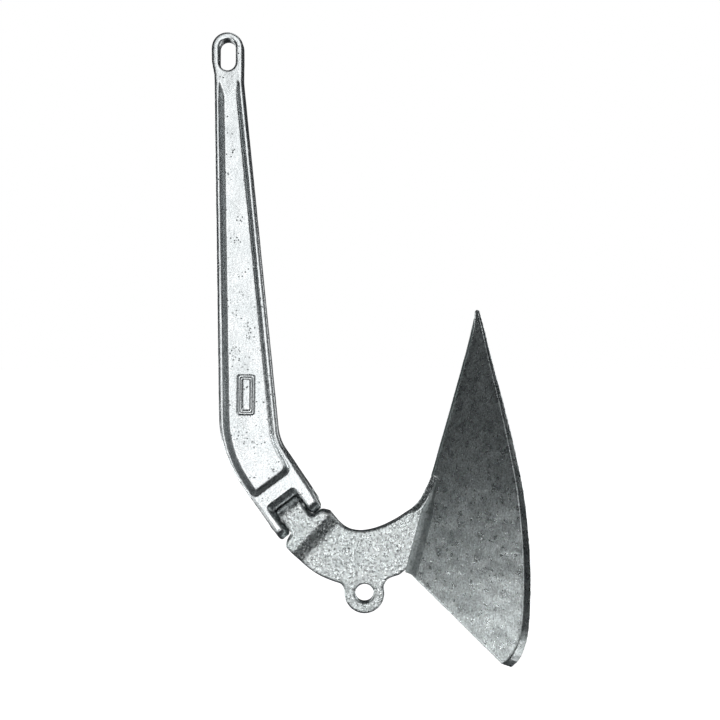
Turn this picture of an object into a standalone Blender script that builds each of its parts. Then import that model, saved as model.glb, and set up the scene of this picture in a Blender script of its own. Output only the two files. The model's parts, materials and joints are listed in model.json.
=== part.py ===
"""Hinged plough anchor, 5 kg pattern, hot-dip galvanised steel.

Frame: origin in the middle of the slot of the shackle eye, +Z up along the shank,
+X from the shank towards the plough, symmetry plane y = 0. Metres.
All design dimensions below are in millimetres.
"""
import math

import bmesh
import bpy
from mathutils import Vector

MM = 0.001

# ---- shackle eye and shank ----
EYE_RADIUS = 15.0          # outside radius of the eye
EYE_TOP_CENTRE = 6.5       # centre of the eye's top arc above the origin
SLOT_HALF_WIDTH = 7.6      # shackle slot
SLOT_HALF_LENGTH = 14.5
NECK_Z = -25.0             # where the eye has narrowed to the shank
NECK_LEFT = -12.4
NECK_RIGHT = 14.6
BEND_LEFT = (-7.5, -375.8)     # sharp corner of the back line at the bend
BEND_LEFT_RADIUS = 112.0
BEND_RIGHT = (48.6, -364.4)    # sharp corner of the inner line at the bend
BEND_RIGHT_RADIUS = 42.0
EYE_HALF_THICK = 7.0
SHANK_HALF_THICK = 8.0
BEND_HALF_THICK = 9.5
FORK_HALF_THICK = 12.8
SHANK_EDGE = 2.2           # edge rounding of the casting
FORK_EDGE = 3.0
WALL_SLOPE = (4.1, 2.6, 4.2, 13.0)   # run of the recess walls: back, inner side, fork end, eye end
WEB_HALF_THICK = 3.2       # web left between the two recesses

# ---- hinge ----
HINGE = (61.8, -432.7)     # centre of the hinge pin in the plane y = 0
PIN_RADIUS = 6.0
PIN_BORE_FORK = 6.35       # the pin is fast in the fork
PIN_BORE_TONGUE = 6.5      # the tongue turns on it
FORK_LEFT = 24.2           # half widths of the fork along the pin
FORK_RIGHT = 24.6
FORK_END = (15.1, 12.6)    # arm ends beyond the pin's axis, left and right
SLOT_HALF = 12.4           # fork slot at the middle plane
SLOT_STRAIGHT = 5.0        # the slot's walls are square to the pin up to here from the middle
SLOT_FLARE = 3.8           # and how much wider it is at the outer faces
CROTCH_NOSE = 12.5         # nose of the crotch, behind the pin's axis
CROTCH_RIM = 20.5          # crotch at the outer faces
NOSE_HALF = 6.5
TONGUE_HALF = 11.8
TONGUE_HALF_THICK = 12.0

# ---- fluke arm ----
PLATE_HALF_THICK = 6.5
STEP_Q = 26.0              # end of the thick hinge block, measured from the pin
STEP_RUN = 18.0
TRIP_EYE = (129.5, -508.8)
TRIP_EYE_RADIUS = 18.9
TRIP_HOLE_RADIUS = 8.8

# ---- plough ----
TIP = (234.7, -241.8)      # point of the plough
RIDGE_END = (168.4, -486.9)
BLADE_THICK = 5.9
EDGE_ROUND = 0.8
RIM_BAND = (15.0, 8.0)     # where the thicker rim starts and is full, from the edge
FRONT_GAP = 0.15           # half gap between the blades at the ridge
ARM_GAP = 6.8              # blades butt on the sides of the arm's root
RIDGE_FLAT = 2.6
ROOT_START = 160.0         # where the arm's root enters the plough
BALLAST_START = 24.0
BALLAST_END = 84.0
FILLET_REACH = 7.5         # legs of the concave weld between arm and blade
GAP = 0.3

P_DIR = Vector((0.8, 0.0, 0.6))     # along the hinge pin
D_DIR = Vector((0.6, 0.0, -0.8))    # from the hinge towards the arm

# outer edge of a blade: (distance from the tip along the ridge, distance from the ridge)
BLADE_EDGE = (
    (0.0, 4.2),
    (30.0, 14.6),
    (72.0, 34.6),
    (111.0, 52.8),
    (152.0, 70.4),
    (200.0, 85.8),
    (240.0, 95.4),
    (262.0, 98.9),
    (277.0, 98.6),
    (287.0, 96.4),
    (294.0, 92.6),
)
# half angle of the vee in degrees: (distance along the ridge, angle)
VEE_ANGLE = ((0.0, 49.0), (150.0, 48.0), (230.0, 46.0), (310.0, 44.0))
# how far the ridge curves in from its straight line: (distance along the ridge, offset)
RIDGE_BOW = ((0.0, -2.2), (10.0, -0.7), (20.0, 0.8), (32.0, 1.5), (60.0, 1.4),
             (90.0, 1.2), (120.0, 0.7), (150.0, 0.3), (165.0, 0.0))
# plate and rim thickness: (distance along the ridge, thickness)
PLATE_TABLE = ((0.0, 3.2), (12.0, 3.8), (30.0, 5.0), (60.0, BLADE_THICK))
RIM_TABLE = ((0.0, 3.2), (12.0, 3.8), (30.0, 5.0), (60.0, 6.2), (110.0, 8.2),
             (180.0, 10.2), (250.0, 11.2), (272.0, 12.6), (294.0, 15.5))
REAR_LEAN = 3.6            # the rim's inside reaches this much further back at the rear corner
# roof of the arm's root: (distance along the ridge, how far it stands out from the ridge)
ROOT_ROOF = ((150.0, 0.3), (160.0, 0.3), (168.0, 1.2), (177.0, 2.9), (185.0, 5.0),
             (193.0, 8.0), (198.0, 12.0), (202.0, 18.0), (206.0, 26.0))


def clear_file():
    for obj in list(bpy.data.objects):
        bpy.data.objects.remove(obj, do_unlink=True)
    for mesh in list(bpy.data.meshes):
        bpy.data.meshes.remove(mesh)


def material(name, colour, roughness, metallic):
    mat = bpy.data.materials.new(name)
    mat.use_nodes = True
    node = mat.node_tree.nodes["Principled BSDF"]
    node.inputs["Base Color"].default_value = (*colour, 1.0)
    node.inputs["Roughness"].default_value = roughness
    node.inputs["Metallic"].default_value = metallic
    return mat


def make_object(name, bm, mat=None):
    bmesh.ops.remove_doubles(bm, verts=bm.verts, dist=0.000005)
    bmesh.ops.triangulate(bm, faces=bm.faces)
    bmesh.ops.recalc_face_normals(bm, faces=bm.faces)
    if bm.calc_volume(signed=True) < 0:
        bmesh.ops.reverse_faces(bm, faces=bm.faces)
    mesh = bpy.data.meshes.new(name)
    bm.to_mesh(mesh)
    bm.free()
    obj = bpy.data.objects.new(name, mesh)
    bpy.context.scene.collection.objects.link(obj)
    if mat is not None:
        obj.data.materials.append(mat)
    return obj


def loft(name, rings, mat=None):
    """Closed solid through rings of equally many points (mm), capped at both ends."""
    bm = bmesh.new()
    layers = [[bm.verts.new(Vector(p) * MM) for p in ring] for ring in rings]
    count = len(layers[0])
    for low, high in zip(layers, layers[1:]):
        for i in range(count):
            j = (i + 1) % count
            bm.faces.new((low[i], low[j], high[j], high[i]))
    bm.faces.new(layers[0][::-1])
    bm.faces.new(layers[-1])
    return make_object(name, bm, mat)


def cut(target, cutter, operation="DIFFERENCE"):
    cutter.hide_render = True
    cutter.display_type = "WIRE"
    mod = target.modifiers.new(cutter.name, "BOOLEAN")
    mod.object = cutter
    mod.operation = operation
    mod.solver = "EXACT"


# ---------------------------------------------------------------- plane curves
def fillet_path(corners):
    """Corners (x, z, radius, steps) of a closed outline, with arcs in place of the corners."""
    out = []
    count = len(corners)
    for i, (x, z, radius, steps) in enumerate(corners):
        here = Vector((x, z))
        if radius <= 0.0:
            out.append(here)
            continue
        before = Vector(corners[i - 1][:2])
        after = Vector(corners[(i + 1) % count][:2])
        a = (before - here).normalized()
        b = (after - here).normalized()
        half = a.angle(b) / 2.0
        run = radius / math.tan(half)
        centre = here + (a + b).normalized() * (radius / math.sin(half))
        start = here + a * run - centre
        end = here + b * run - centre
        turn = start.angle_signed(end)
        for k in range(steps + 1):
            t = -turn * k / steps
            c = math.cos(t)
            s = math.sin(t)
            out.append(centre + Vector((start.x * c - start.y * s, start.x * s + start.y * c)))
    return out


def smooth_path(points, steps):
    """Catmull-Rom curve through open points."""
    pts = [Vector(p) for p in points]
    pts = [pts[0] * 2 - pts[1]] + pts + [pts[-1] * 2 - pts[-2]]
    out = []
    for i in range(1, len(pts) - 2):
        p0, p1, p2, p3 = pts[i - 1:i + 3]
        for k in range(steps):
            t = k / steps
            out.append(0.5 * (2 * p1 + (p2 - p0) * t + (2 * p0 - 5 * p1 + 4 * p2 - p3) * t * t
                              + (3 * p1 - p0 - 3 * p2 + p3) * t ** 3))
    out.append(pts[-2])
    return out


def area(path):
    total = 0.0
    for a, b in zip(path, path[1:] + path[:1]):
        total += a.x * b.y - b.x * a.y
    return total / 2.0


def lerp_table(table, value):
    if value <= table[0][0]:
        return table[0][1]
    for (x0, y0), (x1, y1) in zip(table, table[1:]):
        if value <= x1:
            return y0 + (y1 - y0) * (value - x0) / (x1 - x0)
    return table[-1][1]


def curve_table(table, value):
    """Smooth (Hermite) reading of a table."""
    if value <= table[0][0]:
        return table[0][1]
    if value >= table[-1][0]:
        return table[-1][1]
    slopes = []
    last = len(table) - 1
    for i in range(len(table)):
        a = table[max(0, i - 1)]
        b = table[min(last, i + 1)]
        slopes.append((b[1] - a[1]) / (b[0] - a[0]))
    for i in range(last):
        x0, y0 = table[i]
        x1, y1 = table[i + 1]
        if value <= x1:
            h = x1 - x0
            t = (value - x0) / h
            return ((2 * t ** 3 - 3 * t ** 2 + 1) * y0 + (t ** 3 - 2 * t ** 2 + t) * h * slopes[i]
                    + (3 * t ** 2 - 2 * t ** 3) * y1 + (t ** 3 - t ** 2) * h * slopes[i + 1])
    return table[-1][1]


def split_at(path, value_of, breaks):
    """Add points to a closed outline wherever value_of crosses one of the breaks."""
    out = []
    for a, b in zip(path, path[1:] + path[:1]):
        out.append(a)
        va = value_of(a)
        vb = value_of(b)
        hits = [(k - va) / (vb - va) for k in breaks if (va - k) * (vb - k) < 0]
        for t in sorted(hits):
            if 0.02 < t < 0.98:
                out.append(a.lerp(b, t))
    return out


def slab(name, path, value_of, thickness, edge, breaks, mat=None, steps=3):
    """Casting of outline path (x, z) whose half thickness is a table over value_of."""
    if area(path) < 0:
        path = path[::-1]
    path = split_at(path, value_of, breaks)
    half = [lerp_table(thickness, value_of(p)) for p in path]
    rings = []
    for k in range(steps + 1):
        angle = math.pi / 2 * k / steps
        reach = [edge(p) * (1 - math.cos(angle)) for p in path]
        drop = [edge(p) * math.sin(angle) for p in path]
        moved = inset_list(path, reach)
        rings.append([(q.x, h - edge(p) + d, q.y)
                      for p, q, h, d in zip(path, moved, half, drop)])
    far = rings
    near = [[(x, -y, z) for x, y, z in ring] for ring in rings]
    bm = bmesh.new()
    layers = [[bm.verts.new(Vector(p) * MM) for p in ring] for ring in near[::-1] + far]
    count = len(path)
    for low, high in zip(layers, layers[1:]):
        for i in range(count):
            j = (i + 1) % count
            bm.faces.new((low[i], low[j], high[j], high[i]))
    for layer in (layers[0], layers[-1]):
        cap = bm.faces.new(layer)
        split_cap(bm, cap, layer, path, value_of, breaks)
    return make_object(name, bm, mat)


def inset_list(path, reaches):
    out = []
    count = len(path)
    for i, here in enumerate(path):
        a = (here - path[i - 1]).normalized()
        b = (path[(i + 1) % count] - here).normalized()
        na = Vector((-a.y, a.x))
        nb = Vector((-b.y, b.x))
        n = (na + nb).normalized()
        out.append(here + n * reaches[i] / max(0.5, n.dot(na)))
    return out


def split_cap(bm, cap, layer, path, value_of, breaks):
    """Cut a face along the lines where the thickness changes slope."""
    for k in breaks:
        on = [v for v, p in zip(layer, path) if abs(value_of(p) - k) < 0.01]
        if len(on) == 2:
            bmesh.ops.connect_verts(bm, verts=on)


def fork_q(point):
    """Distance of a plane point beyond the hinge pin, towards the arm."""
    return (point.x - HINGE[0]) * D_DIR.x + (point.y - HINGE[1]) * D_DIR.z


def fork_p(point):
    return (point.x - HINGE[0]) * P_DIR.x + (point.y - HINGE[1]) * P_DIR.z


def hinge_point(p, q):
    v = P_DIR * p + D_DIR * q
    return (HINGE[0] + v.x, HINGE[1] + v.z)


def hinge_space(p, y, q):
    v = P_DIR * p + D_DIR * q
    return (HINGE[0] + v.x, y, HINGE[1] + v.z)


def turned_ring(radius, p, count=32):
    ring = []
    for k in range(count):
        a = 2 * math.pi * k / count
        ring.append(hinge_space(p, radius * math.cos(a), radius * math.sin(a)))
    return ring


def prism_along_pin(name, profile, reach):
    """Prism along the hinge pin; profile holds (q, y)."""
    rings = [[hinge_space(p, y, q) for q, y in profile] for p in (-reach, reach)]
    return loft(name, rings)


# ---------------------------------------------------------------- shank
def shank_outline():
    eye = []
    for k in range(19):
        a = math.pi * k / 18
        eye.append((EYE_RADIUS * math.cos(a), EYE_TOP_CENTRE + EYE_RADIUS * math.sin(a), 0, 0))
    left = [
        (-EYE_RADIUS, -7.0, 14.0, 3),
        (NECK_LEFT, NECK_Z + 5.0, 20.0, 3),
        (BEND_LEFT[0], BEND_LEFT[1], BEND_LEFT_RADIUS, 12),
        (*hinge_point(-FORK_LEFT, FORK_END[0]), 2.5, 3),
    ]
    right = [
        (*hinge_point(FORK_RIGHT, FORK_END[1]), 2.5, 3),
        (*hinge_point(27.6, -4.0), 10.0, 2),
        (BEND_RIGHT[0], BEND_RIGHT[1], BEND_RIGHT_RADIUS, 8),
        (NECK_RIGHT, NECK_Z + 1.0, 20.0, 3),
        (EYE_RADIUS, -8.0, 14.0, 3),
    ]
    return eye + left + right


def densify(path, step):
    """Add points so that no side of a closed outline is longer than step."""
    out = []
    for a, b in zip(path, path[1:] + path[:1]):
        n = max(1, math.ceil((b - a).length / step))
        for k in range(n):
            out.append(a.lerp(b, k / n))
    return out


def shank_edge(point):
    return lerp_table(((-80.0, SHANK_EDGE), (-40.0, FORK_EDGE)), fork_q(point))


def recess_outline(left, right, bottom, top):
    """Recess between the flanges, drawn in from its rim by the four amounts."""
    ease = 1.0 - 0.02 * left
    return fillet_path([
        (BEND_RIGHT[0] - 4.6 - right, BEND_RIGHT[1] + 1.5 - 0.35 * right, BEND_RIGHT_RADIUS, 8),
        (NECK_RIGHT - 4.2 - right + 0.1 * top, -24.5 - top, 1.2, 2),
        (NECK_LEFT + 4.4 + left, -24.5 - top, 1.2, 2),
        (BEND_LEFT[0] + 4.6 + left, BEND_LEFT[1] + 1.0 + 0.35 * left, BEND_LEFT_RADIUS * ease, 12),
        (*hinge_point(-20.4 + left, -33.3 - bottom), 3.6, 4),
        (*hinge_point(22.6 - right, -33.3 - bottom), 6.0, 4),
    ])


def recess_cutter(side):
    slope = WALL_SLOPE
    rim = recess_outline(0.0, 0.0, 0.0, 0.0)
    floor = recess_outline(slope[0], slope[1], slope[2], slope[3])
    rings = [[(p.x, side * WEB_HALF_THICK, p.y) for p in floor]]
    for extra in (0.0, 1.0):
        ring = []
        for p, q in zip(rim, floor):
            face = lerp_table(SHANK_THICKNESS, fork_q(p)) - 0.05
            run = p + (p - q) * extra * 0.8
            rise = (face - WEB_HALF_THICK) * extra * 0.8
            ring.append((run.x, side * (face + rise), run.y))
        rings.append(ring)
    return loft("cut_recess_%s" % ("far" if side > 0 else "near"), rings)


SHANK_THICKNESS = (
    (-372.0, EYE_HALF_THICK),
    (-350.0, SHANK_HALF_THICK),
    (-82.0, BEND_HALF_THICK),
    (-36.0, FORK_HALF_THICK),
    (20.0, FORK_HALF_THICK),
)


def knuckle(radius, centre, outward, reach=20.0):
    """Profile that keeps everything up to a full-round end about the pin."""
    profile = [(-outward * 600.0, -reach), (centre - outward * 1.5, -reach)]
    for k in range(17):
        a = math.radians(-88.0 + 176.0 * k / 16)
        profile.append((centre + outward * radius * math.cos(a), radius * math.sin(a)))
    profile += [(centre - outward * 1.5, reach), (-outward * 600.0, reach)]
    return profile


def fork_end_cutter():
    """Keeps everything up to a full-round end of each fork arm."""
    rings = []
    left, right = FORK_END
    stations = ((-400.0, left), (-FORK_LEFT, left), (FORK_RIGHT, right), (400.0, right))
    for p, end in stations:
        profile = knuckle(FORK_HALF_THICK, end - FORK_HALF_THICK, 1.0)
        rings.append([hinge_space(p, y, q) for q, y in profile])
    return loft("keep_fork_round", rings)


def fork_slot_cutter():
    """Slot between the fork arms, widest at the outer faces and at its mouth."""
    rings = []
    for y, back in ((-24.0, CROTCH_RIM + 3.0), (-FORK_HALF_THICK, CROTCH_RIM),
                    (-NOSE_HALF - 1.2, CROTCH_NOSE + 0.7), (-NOSE_HALF, CROTCH_NOSE),
                    (-SLOT_STRAIGHT, CROTCH_NOSE), (SLOT_STRAIGHT, CROTCH_NOSE),
                    (NOSE_HALF, CROTCH_NOSE), (NOSE_HALF + 1.2, CROTCH_NOSE + 0.7),
                    (FORK_HALF_THICK, CROTCH_RIM), (24.0, CROTCH_RIM + 3.0)):
        rise = max(0.0, min(abs(y), FORK_HALF_THICK) - SLOT_STRAIGHT) / (FORK_HALF_THICK - SLOT_STRAIGHT)
        half = SLOT_HALF + SLOT_FLARE * rise
        corner = 0.4 + 3.4 * rise
        corners = [(-half, -back, corner, 4), (half, -back, corner, 4),
                   (half, 6.0, 0, 0), (half + 3.4, 13.0, 0, 0), (half + 4.0, 40.0, 0, 0),
                   (-half - 4.0, 40.0, 0, 0), (-half - 3.0, 15.2, 0, 0), (-half, 8.0, 0, 0)]
        rings.append([hinge_space(v.x, y, v.y) for v in fillet_path(corners)])
    return loft("cut_fork_slot", rings)


def slot_path(half_width, half_length, count=12):
    path = []
    run = half_length - half_width
    for k in range(2 * count + 2):
        side = 1 if k <= count else -1
        a = math.pi * (k if k <= count else k - 1) / count
        path.append((half_width * math.cos(a), side * run + half_width * math.sin(a)))
    return path


def eye_slot_cutter():
    rings = []
    for y, grow in ((-14.0, 9.0), (-EYE_HALF_THICK - 0.2, 1.5), (-EYE_HALF_THICK + 1.0, 0.35),
                    (-EYE_HALF_THICK + 2.4, 0.0), (EYE_HALF_THICK - 2.4, 0.0),
                    (EYE_HALF_THICK - 1.0, 0.35), (EYE_HALF_THICK + 0.2, 1.5), (14.0, 9.0)):
        grow = min(grow, 3.0)
        path = slot_path(SLOT_HALF_WIDTH + grow, SLOT_HALF_LENGTH + grow)
        rings.append([(x, y, z) for x, z in path])
    return loft("cut_eye_slot", rings)


def mark_block(name, half_width, low, high, bottom, top):
    """Raised or sunk block of the cast mark, with drafted sides, on the port web."""
    centre = Vector((17.4, 0.0, -321.2))
    along = Vector((0.012, 0.0, 1.0)).normalized()
    across = Vector((along.z, 0.0, -along.x))
    rings = []
    for y, draft in ((-WEB_HALF_THICK - bottom, 0.0), (-WEB_HALF_THICK - top, 0.5)):
        grow = -draft if top > 0.0 else draft
        corners = [(-half_width - grow, low - grow, 0.9, 3), (half_width + grow, low - grow, 0.9, 3),
                   (half_width + grow, high + grow, 0.9, 3), (-half_width - grow, high + grow, 0.9, 3)]
        points = [centre + across * v.x + along * v.y for v in fillet_path(corners)]
        rings.append([(p.x, y, p.z) for p in points])
    return loft(name, rings)


def add_cast_mark(shank):
    """Blank mark: a raised frame around a plain raised pad."""
    frame = mark_block("mark_frame", 7.8, -18.8, 18.8, -1.0, 1.2)
    cut(frame, mark_block("cut_mark_field", 6.1, -17.1, 17.1, 0.0, 3.0))
    cut(shank, frame, "UNION")
    cut(shank, mark_block("mark_pad", 4.2, -15.0, 15.0, -1.0, 1.2), "UNION")


def build_shank(mat):
    path = densify(fillet_path(shank_outline()), 22.0)
    breaks = [q for q, _ in SHANK_THICKNESS]
    shank = slab("shank", path, fork_q, SHANK_THICKNESS, shank_edge, breaks, mat)
    cut(shank, fork_end_cutter(), "INTERSECT")
    cut(shank, recess_cutter(-1.0))
    cut(shank, recess_cutter(1.0))
    cut(shank, eye_slot_cutter())
    cut(shank, fork_slot_cutter())
    rings = [turned_ring(PIN_BORE_FORK, -45.0), turned_ring(PIN_BORE_FORK, 45.0)]
    cut(shank, loft("cut_fork_bore", rings))
    add_cast_mark(shank)
    return shank


def build_pin(mat):
    rings = []
    low = -FORK_LEFT - 0.2
    high = 27.0 + 0.9
    for p, r in ((low - 0.9, 3.0), (low - 0.5, 4.9), (low + 0.4, PIN_RADIUS),
                 (high - 1.4, PIN_RADIUS), (high - 0.5, 4.9), (high, 3.0)):
        rings.append(turned_ring(r, p))
    return loft("hinge_pin", rings, mat)


# ---------------------------------------------------------------- fluke arm
def arm_q(point):
    """Like fork_q, tilted so that its lines follow the step at the end of the hinge block."""
    return fork_q(point) + 0.169 * fork_p(point)


def ridge_point(s, w=0.0):
    """Plane point at a distance along the ridge and off it, towards the open side of the vee."""
    along = (Vector(RIDGE_END) - Vector(TIP)).normalized()
    out = Vector((-along.y, along.x))
    return Vector(TIP) + along * s + out * (w + curve_table(RIDGE_BOW, s))


def arm_outline():
    tongue_left = [
        hinge_point(-TONGUE_HALF, 11.0),
        hinge_point(-12.3, 14.6),
        hinge_point(-15.6, 15.9),
        hinge_point(-20.6, 17.8),
        hinge_point(-23.1, 20.5),
        hinge_point(-23.4, 24.6),
        (71.5, -480.4),
        (85.0, -490.7),
        (99.5, -497.2),
        (107.2, -499.8),
        (110.2, -504.4),
    ]
    left = smooth_path([Vector(p) for p in tongue_left], 4)
    eye = []
    for k in range(1, 22):
        a = math.radians(168.0 + 220.0 * k / 22)
        eye.append(Vector(TRIP_EYE) + Vector((math.cos(a), math.sin(a))) * TRIP_EYE_RADIUS)
    rear = [Vector(p) for p in ((148.4, -500.2), (151.2, -495.8), (156.6, -493.0), (163.0, -490.9))]
    rear = smooth_path([Vector(p) for p in rear] + [Vector(ridge_point(252.0, 1.0))], 3)
    web = [ridge_point(251.0, 27.0), ridge_point(ROOT_START + 9.4, 27.0), ridge_point(ROOT_START + 0.9, 0.6)]
    upper = [
        (190.4, -404.0),
        (187.9, -409.5),
        (182.2, -420.4),
        (176.5, -427.0),
        (165.1, -435.8),
        (153.7, -442.5),
        (142.3, -447.3),
        (130.9, -450.1),
        (120.5, -450.1),
        (112.0, -447.2),
        (104.5, -440.8),
        (96.7, -432.2),
    ]
    upper = smooth_path([Vector(p) for p in upper], 3)
    right = smooth_path([
        Vector(hinge_point(24.0, 15.4)),
        Vector(hinge_point(20.4, 13.9)),
        Vector(hinge_point(15.2, 13.6)),
        Vector(hinge_point(12.8, 12.8)),
        Vector(hinge_point(TONGUE_HALF, 9.6)),
    ], 3)
    top = [Vector(hinge_point(TONGUE_HALF, -16.0)), Vector(hinge_point(-TONGUE_HALF, -16.0))]
    return left + eye + rear + web + upper + right + top


# the hinge block runs out in a soft concave step: (share of the run, thickness lost)
STEP_SHAPE = ((-0.08, 0.0), (0.04, 0.5), (0.20, 1.85), (0.40, 3.4), (0.58, 4.6), (0.72, 5.15),
              (0.86, 5.4), (1.0, TONGUE_HALF_THICK - PLATE_HALF_THICK))
ARM_THICKNESS = [(STEP_Q + STEP_RUN * share, TONGUE_HALF_THICK - lost) for share, lost in STEP_SHAPE]


def root_roof_cutter(side):
    """Slopes the top of the arm's root so that it runs out of the ridge of the vee."""
    slope = math.tan(math.radians(lerp_table(VEE_ANGLE, 180.0)))
    rings = []
    for s, stand in ROOT_ROOF:
        rise = 25.0 * slope
        ring = [(-stand, 0.0), (-stand + 25.0, rise), (-stand - 45.0, rise), (-stand - 45.0, 0.0)]
        rings.append([plough(s, w, a, side) for w, a in ring])
    return loft("cut_root_roof", rings)


def build_arm(mat):
    breaks = [q for q, _ in ARM_THICKNESS]
    arm = slab("fluke_arm", densify(arm_outline(), 14.0), arm_q, ARM_THICKNESS, lambda p: 1.8, breaks, mat)
    cut(arm, prism_along_pin("keep_tongue_round", knuckle(TONGUE_HALF_THICK, 0.0, -1.0), 400.0), "INTERSECT")
    cut(arm, root_roof_cutter(-1.0))
    cut(arm, root_roof_cutter(1.0))
    rings = [turned_ring(PIN_BORE_TONGUE, -45.0), turned_ring(PIN_BORE_TONGUE, 45.0)]
    cut(arm, loft("cut_tongue_bore", rings))
    rings = []
    for y, r in ((-12.0, 11.5), (-PLATE_HALF_THICK - 0.2, 10.2), (-PLATE_HALF_THICK + 0.9, 9.2),
                 (-PLATE_HALF_THICK + 2.2, TRIP_HOLE_RADIUS), (PLATE_HALF_THICK - 2.2, TRIP_HOLE_RADIUS),
                 (PLATE_HALF_THICK - 0.9, 9.2), (PLATE_HALF_THICK + 0.2, 10.2), (12.0, 11.5)):
        ring = []
        for k in range(32):
            a = 2 * math.pi * k / 32
            ring.append((TRIP_EYE[0] + r * math.cos(a), y, TRIP_EYE[1] + r * math.sin(a)))
        rings.append(ring)
    cut(arm, loft("cut_tripping_hole", rings))
    return arm


# ---------------------------------------------------------------- plough
def plough(s, w, a, side):
    """Space point from distance along the ridge, from the ridge, and beside the middle plane."""
    v = ridge_point(s, w)
    return Vector((v.x, side * a, v.y))


def edge_at(s):
    w = curve_table(BLADE_EDGE, s)
    return w, w * math.tan(math.radians(lerp_table(VEE_ANGLE, s)))


def ruling(k):
    """Ruling number k in 0..1 of the outer surface: ridge station and edge station."""
    return k * 254.0, k * 294.0


def outer_point(k, t):
    """(s, w, a) on the outer surface; t = 0 on the ridge, 1 on the edge."""
    s0, s1 = ruling(k)
    w, a = edge_at(s1)
    return Vector((s0 + (s1 - s0) * t, w * t, a * t))


def outer_normal(k, t):
    e = 0.004
    along = outer_point(min(1.0, k + e), t) - outer_point(max(0.0, k - e), t)
    across = outer_point(k, min(1.0, t + 0.01)) - outer_point(k, max(0.0, t - 0.01))
    n = along.cross(across).normalized()
    return n if n.z > 0 else -n


def half_flat(k):
    """Half width of the flat ground along the ridge, less towards the point."""
    return min(RIDGE_FLAT, 0.45 * outer_point(k, 1.0).z)


def blade_section(k, gap):
    """Closed section of one blade along a ruling: (s, w, a) points."""
    reach = outer_point(k, 1.0)
    s0, s1 = ruling(k)
    plate = lerp_table(PLATE_TABLE, s0)
    rim = lerp_table(RIM_TABLE, s1)
    flat = half_flat(k) if gap < 1.0 else gap
    t0 = flat / reach.z
    n = outer_normal(k, 0.5)
    t1 = (gap + plate * n.z) / reach.z
    length = reach.length
    e = EDGE_ROUND / length
    start = outer_point(k, t0)
    pts = [start]
    pts += [outer_point(k, t0 + (1.0 - t0) * f) for f in (0.2, 0.4, 0.6, 0.8)]
    pts += [outer_point(k, 1.0 - e), outer_point(k, 1.0 - 0.29 * e) - n * EDGE_ROUND * 0.29]
    pts += [outer_point(k, 1.0) - n * EDGE_ROUND]
    lean = Vector((REAR_LEAN * max(0.0, (k - 0.9) / 0.1), 0.0, 0.0))
    pts += [outer_point(k, 1.0) - n * (rim - EDGE_ROUND) + lean]
    pts += [outer_point(k, 1.0 - 0.29 * e) - n * (rim - 0.29 * EDGE_ROUND) + lean]
    pts += [outer_point(k, 1.0 - e) - n * rim + lean]
    full = 1.0 - min(RIM_BAND[1] / length, 0.3 * (1.0 - t1))
    begin = 1.0 - min(RIM_BAND[0] / length, 0.5 * (1.0 - t1))
    pts.append(outer_point(k, full) - n * rim + lean * 0.6)
    pts.append(outer_point(k, begin) - n * plate)
    pts.append(outer_point(k, (t1 + begin) / 2) - n * plate)
    last = outer_point(k, t1) - n * plate
    last.z = gap
    pts.append(last)
    if gap < 1.0:
        pts.append(Vector((start.x, start.y, gap)))
    else:
        pts.append(start.lerp(last, 0.35))
    return pts


def build_blade(name, side, mat):
    """One plate of the plough, from a rounded point to the rear edge."""
    split = ROOT_START / 254.0
    rings = []
    tip = blade_section(0.0, FRONT_GAP)
    middle = sum(tip, Vector()) / len(tip)
    for s, size in ((-1.3, 0.35), (-0.9, 0.75)):
        ring = []
        for p in tip:
            q = middle.lerp(p, size)
            ring.append(plough(q.x + s, q.y, max(FRONT_GAP, q.z), side))
        rings.append(ring)
    for i in range(13):
        k = 0.004 + (split - 0.004) * (i / 12) ** 1.3
        rings.append([plough(*p, side) for p in blade_section(k, FRONT_GAP)])
    for i in range(14):
        k = 1.0 - (1.0 - split - 0.0006) * (1.0 - i / 13) ** 1.5
        rings.append([plough(*p, side) for p in blade_section(k, ARM_GAP)])
    return loft(name, rings, mat)


def build_ridge_weld(mat):
    """Bead that joins the two blades along the ridge."""
    rings = []
    first = 9.0
    for i in range(15):
        s = first + (ROOT_START - first + 0.5) * i / 14
        flat = half_flat(s / 254.0)
        size = flat / RIDGE_FLAT * min(1.0, 0.25 + (s - first) / 16.0)
        base = flat / math.tan(math.radians(lerp_table(VEE_ANGLE, s))) - GAP
        ring = []
        for k in range(9):
            a = math.pi * k / 8
            ring.append(plough(s, base - 2.0 * size * math.sin(a), 0.92 * flat * math.cos(a), 1.0))
        rings.append(ring)
    return loft("ridge_weld", rings, mat)


def build_arm_weld(name, side, mat):
    """Concave fillet between the side of the arm and the outside of a blade."""
    rings = []
    first = (ROOT_START + 2.0) / 254.0
    for i in range(15):
        k = first + (0.994 - first) * i / 14
        leg = min(FILLET_REACH, 1.2 + 0.8 * lerp_table(ROOT_ROOF, k * 254.0))
        reach = outer_point(k, 1.0)
        n = outer_normal(k, 0.3)
        corner = outer_point(k, ARM_GAP / reach.z)
        along = (reach - corner).normalized()
        heel = Vector((corner.x, corner.y - 0.35, ARM_GAP))
        toe = Vector((corner.x, corner.y - leg, ARM_GAP))
        high = corner + along * leg + n * GAP
        lip = toe + Vector((0.0, 0.15, GAP))
        rim = high + n * GAP - along * 0.15
        bend = corner + Vector((0.0, -0.25, 0.0)) + (n + Vector((0.0, 0.0, 1.0))) * GAP
        ring = [toe, heel, corner + n * GAP, high, rim]
        for t in (0.8, 0.6, 0.4, 0.2):
            ring.append(rim * t * t + bend * 2 * t * (1 - t) + lip * (1 - t) * (1 - t))
        ring.append(lip)
        rings.append([plough(*p, side) for p in ring])
    return loft(name, rings, mat)


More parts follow.
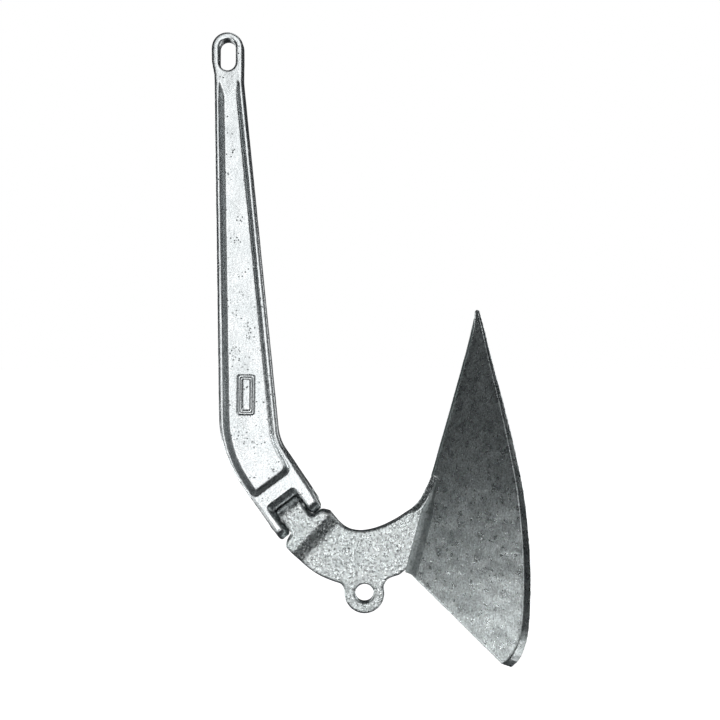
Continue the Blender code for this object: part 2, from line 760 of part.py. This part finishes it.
def build_root_weld(name, side, mat):
    """Fillet between the arm's root and the inside of a blade."""
    rings = []
    for i in range(9):
        k = (ROOT_START + 8.0) / 254.0 + (0.975 - (ROOT_START + 8.0) / 254.0) * i / 8
        reach = outer_point(k, 1.0)
        n = outer_normal(k, 0.3)
        t1 = (ARM_GAP + BLADE_THICK * n.z) / reach.z
        corner = outer_point(k, t1) - n * BLADE_THICK
        along = (reach - outer_point(k, 0.0)).normalized()
        heel = corner + Vector((0.0, 1.0, 0.0))
        heel.z = ARM_GAP
        toe = corner + Vector((0.0, 8.0, 0.0))
        toe.z = ARM_GAP
        high = corner + along * 8.0 - n * GAP
        mid = (toe + high) / 2 + Vector((0.0, 0.7, -0.2))
        rings.append([plough(*p, side) for p in (heel, toe, mid, high)])
    return loft(name, rings, mat)


def build_ballast(mat):
    """Weight that fills the vee behind the point."""
    rings = []
    angle = math.radians(48.5)
    for i in range(9):
        s = BALLAST_START + (BALLAST_END - BALLAST_START) * i / 8
        plate = lerp_table(PLATE_TABLE, s)
        apex = plate / math.sin(angle) + 1.1
        floor_w = max(edge_at(s * 294.0 / 254.0)[0] - 5.0, apex + 2.2)
        half = (floor_w - apex) * math.tan(angle) * 0.96
        corners = [(apex, 0.5), (floor_w - 0.8, half), (floor_w, half - 1.0)]
        ring = [plough(s, apex - 0.2, 0.0, 1.0)]
        ring += [plough(s, w, a, 1.0) for w, a in corners]
        ring.append(plough(s, floor_w + 0.8, 0.0, 1.0))
        ring += [plough(s, w, a, -1.0) for w, a in corners[::-1]]
        rings.append(ring)
    return loft("toe_ballast", rings, mat)


def main():
    clear_file()
    casting = material("cast_galvanised", (0.62, 0.65, 0.66), 0.42, 1.0)
    plate = material("plate_galvanised", (0.42, 0.45, 0.45), 0.48, 1.0)
    steel = material("pin_steel", (0.55, 0.56, 0.57), 0.35, 1.0)
    bead = material("weld_galvanised", (0.55, 0.58, 0.58), 0.5, 1.0)
    build_shank(casting)
    build_pin(steel)
    build_arm(casting)
    for name, side in (("port", -1.0), ("starboard", 1.0)):
        build_blade("blade_" + name, side, plate)
        build_arm_weld("arm_weld_" + name, side, bead)
        build_root_weld("root_weld_" + name, side, bead)
    build_ridge_weld(bead)
    build_ballast(casting)


main()
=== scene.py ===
"""Looks of the hinged plough anchor: cast, forged and welded steel under hot-dip zinc.

Each visible piece is a finely meshed skin, made from its own CAD solid. It rides on that solid's
body and replaces its node. Lengths are in metres.
"""
import json
import math

import bmesh
import bpy
import numpy as np
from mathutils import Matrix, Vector, noise


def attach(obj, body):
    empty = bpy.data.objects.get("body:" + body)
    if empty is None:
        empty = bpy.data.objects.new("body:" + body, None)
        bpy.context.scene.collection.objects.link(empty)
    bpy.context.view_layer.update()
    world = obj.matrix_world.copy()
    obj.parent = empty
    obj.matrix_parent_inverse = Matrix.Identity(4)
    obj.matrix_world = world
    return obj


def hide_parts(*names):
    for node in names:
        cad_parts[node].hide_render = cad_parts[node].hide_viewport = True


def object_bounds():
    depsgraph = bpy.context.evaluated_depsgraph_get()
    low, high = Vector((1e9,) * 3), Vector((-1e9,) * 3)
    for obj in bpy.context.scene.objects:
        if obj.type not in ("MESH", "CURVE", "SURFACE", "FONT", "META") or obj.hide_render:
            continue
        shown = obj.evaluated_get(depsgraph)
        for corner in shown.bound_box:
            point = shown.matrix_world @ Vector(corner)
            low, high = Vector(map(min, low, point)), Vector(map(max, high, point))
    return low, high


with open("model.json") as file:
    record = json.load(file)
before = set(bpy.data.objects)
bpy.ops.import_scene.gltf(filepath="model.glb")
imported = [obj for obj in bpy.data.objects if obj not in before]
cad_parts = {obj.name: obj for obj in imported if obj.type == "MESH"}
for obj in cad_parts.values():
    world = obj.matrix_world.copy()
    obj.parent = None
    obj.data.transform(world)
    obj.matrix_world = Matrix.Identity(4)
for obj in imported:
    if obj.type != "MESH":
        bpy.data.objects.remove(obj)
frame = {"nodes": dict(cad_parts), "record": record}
CAD_BOX = [list(corner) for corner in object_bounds()]
MIDDLE = (Vector(CAD_BOX[0]) + Vector(CAD_BOX[1])) / 2
NODES = frame["nodes"]
BODY_OF = {
    node: body
    for body, members in frame["record"]["behaviour"]["bodies"].items()
    for node in members
}
SCENE = bpy.context.scene

# the Mix node's colour sockets, which have the same names as its other sockets
MIX_A, MIX_B, MIX_RESULT = 6, 7, 2


def link(thing):
    SCENE.collection.objects.link(thing)


# ---------------------------------------------------------------- node helpers
class Tree:
    """A metal material under construction: its nodes, and the colour that they make so far."""

    def __init__(self, name):
        self.mat = bpy.data.materials.new(name)
        self.mat.use_nodes = True
        self.tree = self.mat.node_tree
        self.bsdf = self.tree.nodes["Principled BSDF"]
        self.coord = self.tree.nodes.new("ShaderNodeTexCoord").outputs["Object"]
        self.colour = None

    def put(self, socket, value):
        """Links an output to a socket, or sets the socket to a constant."""
        if hasattr(value, "is_linked"):
            self.tree.links.new(value, socket)
        else:
            socket.default_value = value

    def noise(self, scale, detail, rough, distortion=0.0, stretch=None):
        node = self.tree.nodes.new("ShaderNodeTexNoise")
        node.inputs["Scale"].default_value = scale
        node.inputs["Detail"].default_value = detail
        node.inputs["Roughness"].default_value = rough
        node.inputs["Distortion"].default_value = distortion
        vector = self.coord
        if stretch:
            mapping = self.tree.nodes.new("ShaderNodeMapping")
            mapping.inputs["Scale"].default_value = stretch
            self.put(mapping.inputs["Vector"], vector)
            vector = mapping.outputs["Vector"]
        self.put(node.inputs["Vector"], vector)
        return node.outputs["Fac"]

    def cells(self, scale):
        """Distance to the nearest of many scattered points."""
        node = self.tree.nodes.new("ShaderNodeTexVoronoi")
        node.inputs["Scale"].default_value = scale
        self.put(node.inputs["Vector"], self.coord)
        return node.outputs["Distance"]

    def ramp(self, value, stops):
        """A grey ramp through (position, level) stops."""
        node = self.tree.nodes.new("ShaderNodeValToRGB")
        self.put(node.inputs["Fac"], value)
        elements = node.color_ramp.elements
        while len(elements) < len(stops):
            elements.new(0.5)
        for element, (position, level) in zip(elements, stops):
            element.position = position
            element.color = (level, level, level, 1.0)
        return node.outputs["Color"]

    def math(self, kind, a, b, clamp=False):
        node = self.tree.nodes.new("ShaderNodeMath")
        node.operation = kind
        node.use_clamp = clamp
        self.put(node.inputs[0], a)
        self.put(node.inputs[1], b)
        return node.outputs["Value"]

    def mix(self, kind, fac, a, b):
        node = self.tree.nodes.new("ShaderNodeMix")
        node.data_type = "RGBA"
        node.blend_type = kind
        self.put(node.inputs["Factor"], fac)
        for socket, value in ((MIX_A, a), (MIX_B, b)):
            if isinstance(value, tuple):
                value = (*value, 1.0)
            self.put(node.inputs[socket], value)
        return node.outputs[MIX_RESULT]

    def shade(self, amount, mask, stops):
        """Multiplies the colour so far by a grey ramp of a mask."""
        self.colour = self.mix("MULTIPLY", amount, self.colour, self.ramp(mask, stops))

    def attribute(self, name):
        node = self.tree.nodes.new("ShaderNodeAttribute")
        node.attribute_name = name
        return node.outputs["Fac"]

    def bump(self, layers):
        """Chains one bump for each (height, strength, distance) layer."""
        normal = None
        for height, strength, distance in layers:
            node = self.tree.nodes.new("ShaderNodeBump")
            node.inputs["Strength"].default_value = strength
            node.inputs["Distance"].default_value = distance
            self.put(node.inputs["Height"], height)
            if normal is not None:
                self.put(node.inputs["Normal"], normal)
            normal = node.outputs["Normal"]
        self.put(self.bsdf.inputs["Normal"], normal)

    def finish(self, roughness):
        self.put(self.bsdf.inputs["Base Color"], self.colour)
        self.put(self.bsdf.inputs["Roughness"], roughness)
        self.put(self.bsdf.inputs["Metallic"], 1.0)
        return self.mat


# ---------------------------------------------------------------- materials
# how fine each pattern is, in features per metre
PATCHES = 34.0
STREAKS = 60.0
PIT_FIELDS = 75.0
CLOUDS = 150.0
PITS = 330.0
PEBBLES = 430.0
SPECKLE = 620.0
FINE_GRAIN = 1900.0

# how high each pattern stands
PATCH_HEIGHT = 0.003
PEBBLE_HEIGHT = 0.0011
SPECKLE_HEIGHT = 0.0008
PIT_DEPTH = 0.0006
FINE_HEIGHT = 0.00025

STREAK_SQUEEZE = (14.0, 14.0, 1.0)
ROUGHNESS_SPREAD = 0.20
CORNER_BRIGHTENING_GAIN = 1.12


def zinc(name, bright, dark, rough, grain, mottle=0.35, pits=0.0, streak=0.0, pebble=0.0,
         brighter_corners=0.0, rim_shade=0.0, wall_shade=0.0):
    """Galvanised steel: mottled zinc over a grainy surface.

    Where asked it is also pitted, streaked or pebbled, brighter on its corners, darker along its
    edges as painted shade, or darker on its walls as painted shade. Its creases get painted
    shade.
    """
    t = Tree(name)
    patches = t.noise(PATCHES, 3.0, 0.6)
    clouds = t.noise(CLOUDS, 2.0, 0.55)
    speckle = t.noise(SPECKLE, 3.0, 0.75, 0.4)
    fine = t.noise(FINE_GRAIN, 2.0, 0.6)
    corner_and_rim_shade = t.attribute("corner_and_rim_shade")
    t.colour = t.mix("MIX", t.ramp(patches, ((0.35, 0.0), (0.65, 1.0))), dark, bright)
    t.shade(0.5, clouds, ((0.3, 0.82), (0.6, 1.0)))
    t.shade(1.0, speckle, ((0.25, 1.0 - mottle), (0.75, 1.0 + mottle * 0.6)))
    layers = [
        (patches, 0.2, PATCH_HEIGHT),
        (speckle, grain, SPECKLE_HEIGHT),
        (fine, grain * 0.8, FINE_HEIGHT),
    ]
    if pits:
        dots = t.ramp(t.cells(PITS), ((0.0, 1.0), (0.14, 1.0), (0.26, 0.0)))
        fields = t.ramp(t.noise(PIT_FIELDS, 2.0, 0.6), ((0.0, 0.0), (0.55, 0.0), (0.62, 1.0)))
        holes = t.math("MULTIPLY", dots, fields)
        t.shade(pits, holes, ((0.0, 1.0), (1.0, 0.25)))
        layers.append((t.math("SUBTRACT", 1.0, holes), pits, PIT_DEPTH))
    if pebble:
        bumps = t.noise(PEBBLES, 2.0, 0.5, 0.8)
        t.shade(pebble, bumps, ((0.34, 0.45), (0.48, 1.0), (0.62, 1.15)))
        layers.append((bumps, pebble * 0.7, PEBBLE_HEIGHT))
    if streak:
        lines = t.noise(STREAKS, 3.0, 0.6, 0.0, STREAK_SQUEEZE)
        t.shade(streak, lines, ((0.3, 0.55), (0.65, 1.0)))
    # lightens convex corners towards a brighter tone
    if brighter_corners:
        lighter_tone = tuple(min(1.0, channel * CORNER_BRIGHTENING_GAIN) for channel in bright)
        t.colour = t.mix("MIX", t.math("MULTIPLY", corner_and_rim_shade, brighter_corners), t.colour, lighter_tone)
    # painted shade: darkens the plates' convex edges, as if they were turned from the light
    if rim_shade:
        t.shade(rim_shade, corner_and_rim_shade, ((0.0, 1.0), (0.8, 0.25)))
    # painted shade: darkens faces turned away from the anchor's two sides
    if wall_shade:
        t.shade(wall_shade, t.attribute("wall"), ((0.25, 1.0), (0.75, 0.40)))
    # painted shade: darkens creases, where shade falls
    t.shade(1.0, t.attribute("painted_crease_shade"), ((0.0, 1.0), (1.0, 0.30)))
    t.bump(layers)
    spread = t.math("MULTIPLY", t.math("SUBTRACT", clouds, 0.5), ROUGHNESS_SPREAD)
    return t.finish(t.math("ADD", rough, spread, clamp=True))


CAST = zinc("cast_zinc", (0.91, 0.94, 0.95), (0.81, 0.85, 0.86), rough=0.26, grain=0.20,
            pits=0.80, brighter_corners=0.3, wall_shade=0.7)
FORGED = zinc("forged_zinc", (0.78, 0.82, 0.82), (0.69, 0.74, 0.74), rough=0.27, grain=0.24,
              pits=0.90, pebble=0.80)
PLATE = zinc("plate_zinc", (0.74, 0.79, 0.79), (0.66, 0.71, 0.71), rough=0.29, grain=0.34,
             mottle=0.80, streak=0.45, rim_shade=0.8)
# painted shade: the ridge weld is coloured near black, standing in for the dark line along the
# ridge
RIDGE_SHADE = zinc("ridge_shade_zinc", (0.22, 0.25, 0.25), (0.18, 0.21, 0.21), rough=0.36, grain=0.30)
# painted shade: the weld beads are coloured dark, standing in for the shade where the plates
# meet; their pits and pebbles are their own texture
BEAD_SHADE = zinc("bead_shade_zinc", (0.32, 0.35, 0.35), (0.25, 0.28, 0.28), rough=0.34, grain=0.30,
            pits=0.3, pebble=0.5)
# painted shade: the pin is coloured dark, standing in for the shade in the hinge's gaps
PIN_SHADE = zinc("pin_shade_zinc", (0.50, 0.52, 0.52), (0.35, 0.37, 0.37), rough=0.36, grain=0.15, pits=0.2)


# ---------------------------------------------------------------- meshes
WELD_REACH = 0.00001
EDGE_ROUNDS = 2
LUMP_SIZE = 0.012
GRAIN_SIZE = 0.0035
GRAIN_NOISE = (0.8, 2.1, 3)  # fractal increment, lacunarity and octaves
NOISE_ORIGIN = Vector((3.1, 1.7, 2.3))
NORMAL_ROUNDS = 2
BEND_ROUNDS = 10
PLATE_CALM = 12
CALM = 4
CORNER_GAIN = 0.9
CORNER_START = 0.30
CREASE_SHADE_START = 0.22


def remeshed(node, voxel):
    """The node's solid as an even mesh of small quads with softened edges."""
    temp = bpy.data.objects.new("temp", NODES[node].data.copy())
    link(temp)
    weld = temp.modifiers.new("weld", "WELD")
    weld.merge_threshold = WELD_REACH
    remesh = temp.modifiers.new("remesh", "REMESH")
    remesh.mode = "VOXEL"
    remesh.voxel_size = voxel
    smooth = temp.modifiers.new("smooth", "SMOOTH")
    smooth.factor = 0.5
    smooth.iterations = EDGE_ROUNDS
    graph = bpy.context.evaluated_depsgraph_get()
    mesh = bpy.data.meshes.new_from_object(temp.evaluated_get(graph))
    bpy.data.objects.remove(temp)
    mesh.name = "skin_" + node
    mesh.materials.clear()
    return mesh


def positions(mesh):
    co = np.empty(len(mesh.vertices) * 3, dtype=np.float64)
    mesh.vertices.foreach_get("co", co)
    return co.reshape(-1, 3)


def set_positions(mesh, co):
    mesh.vertices.foreach_set("co", co.ravel())
    mesh.update()


def normals(mesh):
    no = np.empty(len(mesh.vertices) * 3, dtype=np.float32)
    mesh.vertex_normals.foreach_get("vector", no)
    return no.reshape(-1, 3).astype(np.float64)


def neighbour_mean(mesh, values, rounds):
    """Values averaged over the mesh's edges, several times."""
    edges = np.empty(len(mesh.edges) * 2, dtype=np.int32)
    mesh.edges.foreach_get("vertices", edges)
    a, b = edges[0::2], edges[1::2]
    count = np.bincount(edges, minlength=len(values)).astype(np.float64)
    count = count.reshape(-1, *([1] * (values.ndim - 1)))
    for _ in range(rounds):
        total = np.zeros_like(values)
        np.add.at(total, a, values[b])
        np.add.at(total, b, values[a])
        values = 0.5 * values + 0.5 * total / np.maximum(count, 1)
    return values


def mark(mesh, name, values):
    """Keeps one value for each vertex, for the material to read."""
    layer = mesh.attributes.new(name, "FLOAT", "POINT")
    layer.data.foreach_set("value", values.astype(np.float32))


def shade_masks(mesh, voxel, calm):
    """Marks the skin's convex corners, its creases and its walls, for brighter corners and
    painted shade.

    The bend is how far a vertex lies below the mean of its surroundings, in voxels. A higher calm
    smooths it more. A wall is skin that faces away from the anchor's two sides; the material
    darkens walls as painted shade.
    """
    no = neighbour_mean(mesh, normals(mesh), NORMAL_ROUNDS)
    no /= np.maximum(np.linalg.norm(no, axis=1, keepdims=True), 1e-9)
    co = positions(mesh)
    around = neighbour_mean(mesh, co, BEND_ROUNDS)
    bend = np.einsum("ij,ij->i", around - co, no) / voxel
    bend = neighbour_mean(mesh, bend, calm)
    # convex corners, for brighter corners and for painted shade along the plates' edges
    mark(mesh, "corner_and_rim_shade", np.clip(-bend * CORNER_GAIN - CORNER_START, 0.0, 1.0))
    # creases, for painted shade
    mark(mesh, "painted_crease_shade", np.clip(bend - CREASE_SHADE_START, 0.0, 1.0))
    mark(mesh, "wall", 1.0 - np.abs(no[:, 1]))


def roughen(mesh, swell, lumps, grain):
    """Swells the skin, then moves it in and out as a rough casting does."""
    co = positions(mesh)
    amount = np.empty(len(co))
    for i, point in enumerate(co):
        p = Vector(point)
        wave = noise.noise(p / LUMP_SIZE + NOISE_ORIGIN)
        fine = noise.fractal(p / GRAIN_SIZE + NOISE_ORIGIN, *GRAIN_NOISE)
        amount[i] = swell + lumps * wave + grain * fine
    set_positions(mesh, co + normals(mesh) * amount[:, None])


def settle(mesh, shift, growth):
    """Scales a skin about its middle and moves it by a vector."""
    co = positions(mesh)
    middle = (co.min(axis=0) + co.max(axis=0)) / 2
    set_positions(mesh, middle + (co - middle) * growth + np.array(shift))


# ---------------------------------------------------------------- pieces
# weld beads are laid into the plates that they join, so that only their faces show
SHIFT = {
    "arm_weld_port": (0.00015, 0.00045, 0.0),
    "arm_weld_starboard": (0.00015, -0.00045, 0.0),
    "root_weld_port": (-0.0004, 0.0, 0.0),
    "root_weld_starboard": (-0.0004, 0.0, 0.0),
    "ridge_weld": (0.00025, 0.0, -0.00007),
}
GROWTH = {"ridge_weld": 1.025, "arm_weld_port": 1.01, "arm_weld_starboard": 1.01}

# node, slot, material, voxel, swell, lumps, grain
PIECES = (
    ("shank", "cast_galvanised", CAST, 0.0008, 0.0, 0.00010, 0.00003),
    ("fluke_arm", "cast_galvanised", FORGED, 0.0008, 0.0001, 0.00012, 0.00005),
    ("hinge_pin", "pin_steel", PIN_SHADE, 0.0006, 0.0, 0.00003, 0.00002),
    ("blade_port", "plate_galvanised", PLATE, 0.0010, 0.0003, 0.00022, 0.00001),
    ("blade_starboard", "plate_galvanised", PLATE, 0.0010, 0.0003, 0.00022, 0.00001),
    ("toe_ballast", "cast_galvanised", PLATE, 0.0010, 0.0001, 0.00020, 0.00012),
    ("ridge_weld", "weld_galvanised", RIDGE_SHADE, 0.0005, 0.0003, 0.00015, 0.00008),
    ("arm_weld_port", "weld_galvanised", BEAD_SHADE, 0.0005, 0.0001, 0.00015, 0.00006),
    ("arm_weld_starboard", "weld_galvanised", BEAD_SHADE, 0.0005, 0.0001, 0.00015, 0.00006),
    ("root_weld_port", "weld_galvanised", BEAD_SHADE, 0.0006, 0.0002, 0.00030, 0.00015),
    ("root_weld_starboard", "weld_galvanised", BEAD_SHADE, 0.0006, 0.0002, 0.00030, 0.00015),
)


def skin(node, slot, material, voxel, swell, lumps, grain):
    """Makes a node's skin and puts it in the node's place."""
    mesh = remeshed(node, voxel)
    shade_masks(mesh, voxel, PLATE_CALM if material is PLATE else CALM)
    roughen(mesh, swell, lumps, grain)
    settle(mesh, SHIFT.get(node, (0.0, 0.0, 0.0)), GROWTH.get(node, 1.0))
    mesh.materials.append(material)
    mesh.polygons.foreach_set("use_smooth", [True] * len(mesh.polygons))
    piece = bpy.data.objects.new("skin_" + node, mesh)
    link(piece)
    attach(piece, BODY_OF[node])
    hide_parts(node)


for row in PIECES:
    skin(*row)


# ---------------------------------------------------------------- camera
# level, and square to the anchor's port side
CAMERA_OFFSET = Vector((-0.003617, -0.95, -0.021237))
camera_data = bpy.data.cameras.new("camera")
camera_data.lens = 50.0
camera_data.sensor_width = 36.0
camera = bpy.data.objects.new("camera", camera_data)
camera.location = MIDDLE + CAMERA_OFFSET
camera.rotation_euler = (math.pi / 2, 0.0, 0.0)
link(camera)
SCENE.camera = camera


# ---------------------------------------------------------------- floor
FLOOR_GAP = 0.03
FLOOR_RADIUS = 30.0


def pale_material():
    pale = bpy.data.materials.new("pale_floor")
    pale.use_nodes = True
    inputs = pale.node_tree.nodes["Principled BSDF"].inputs
    inputs["Base Color"].default_value = (0.9, 0.9, 0.9, 1.0)
    inputs["Roughness"].default_value = 1.0
    inputs["Emission Color"].default_value = (1.0, 1.0, 1.0, 1.0)
    inputs["Emission Strength"].default_value = 1.0
    return pale


def lay_floor():
    """A wide pale disc below the anchor, which the metal doesn't mirror."""
    mesh = bpy.data.meshes.new("floor")
    bm = bmesh.new()
    bmesh.ops.create_circle(bm, cap_ends=True, segments=96, radius=FLOOR_RADIUS)
    bm.to_mesh(mesh)
    bm.free()
    floor = bpy.data.objects.new("floor", mesh)
    floor.location = (MIDDLE.x, MIDDLE.y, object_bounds()[0].z - FLOOR_GAP)
    link(floor)
    floor.data.materials.append(pale_material())
    floor.visible_glossy = False
    floor.visible_diffuse = False
    floor.visible_shadow = False


lay_floor()


# ---------------------------------------------------------------- light
AIM = MIDDLE + Vector((-0.008817, 0.0, -0.012937))
DARK_ROOM = (0.030, 0.033, 0.035, 1.0)
WHITE = (1.0, 1.0, 1.0, 1.0)

# name, direction from the anchor, distance, width and height, radiance
SOFT_BOXES = (
    ("front", (-0.04, -1.0, 0.14), 1.9, (1.15, 2.6), 1.38),
    ("front_low", (0.16, -1.9, -0.80), 2.1, (0.5, 0.3), 3.4),
    ("left_low", (-1.0, -0.12, -0.50), 1.3, (0.40, 0.40), 6.2),
    ("front_left_low", (-0.64, -0.64, -0.42), 1.8, (0.9, 0.9), 1.0),
    ("right_front", (1.0, -0.85, 0.1), 2.2, (0.9, 1.4), 0.3),
    ("right_low", (0.7, 0.05, -0.8), 1.4, (0.5, 0.5), 2.4),
    ("back_left", (-0.75, 0.8, 0.0), 2.0, (1.1, 1.6), 1.9),
    ("back_right", (0.80, 0.90, -0.15), 2.0, (1.0, 1.6), 2.3),
    ("top", (0.1, 0.1, 1.0), 2.0, (1.2, 1.2), 1.0),
)


def soft_box(name, direction, distance, size, radiance):
    """A rectangular diffuser aimed at the anchor's middle."""
    data = bpy.data.lights.new(name, "AREA")
    data.shape = "RECTANGLE"
    data.size, data.size_y = size
    data.energy = radiance * math.pi * size[0] * size[1]
    lamp = bpy.data.objects.new(name, data)
    place = AIM + Vector(direction).normalized() * distance
    lamp.location = place
    lamp.rotation_euler = (AIM - place).to_track_quat("-Z", "Y").to_euler()
    lamp.visible_camera = False
    link(lamp)


def studio():
    """A dark room for the metal to mirror, behind which the background stays white."""
    world = bpy.data.worlds.new("studio")
    world.use_nodes = True
    nodes, links = world.node_tree.nodes, world.node_tree.links
    path = nodes.new("ShaderNodeLightPath")
    mixer = nodes.new("ShaderNodeMix")
    mixer.data_type = "RGBA"
    mixer.inputs[MIX_A].default_value = DARK_ROOM
    mixer.inputs[MIX_B].default_value = WHITE
    links.new(path.outputs["Is Camera Ray"], mixer.inputs["Factor"])
    links.new(mixer.outputs[MIX_RESULT], nodes["Background"].inputs["Color"])
    SCENE.world = world


for row in SOFT_BOXES:
    soft_box(*row)
studio()
SCENE.view_settings.view_transform = "Standard"
SCENE.view_settings.look = "None"
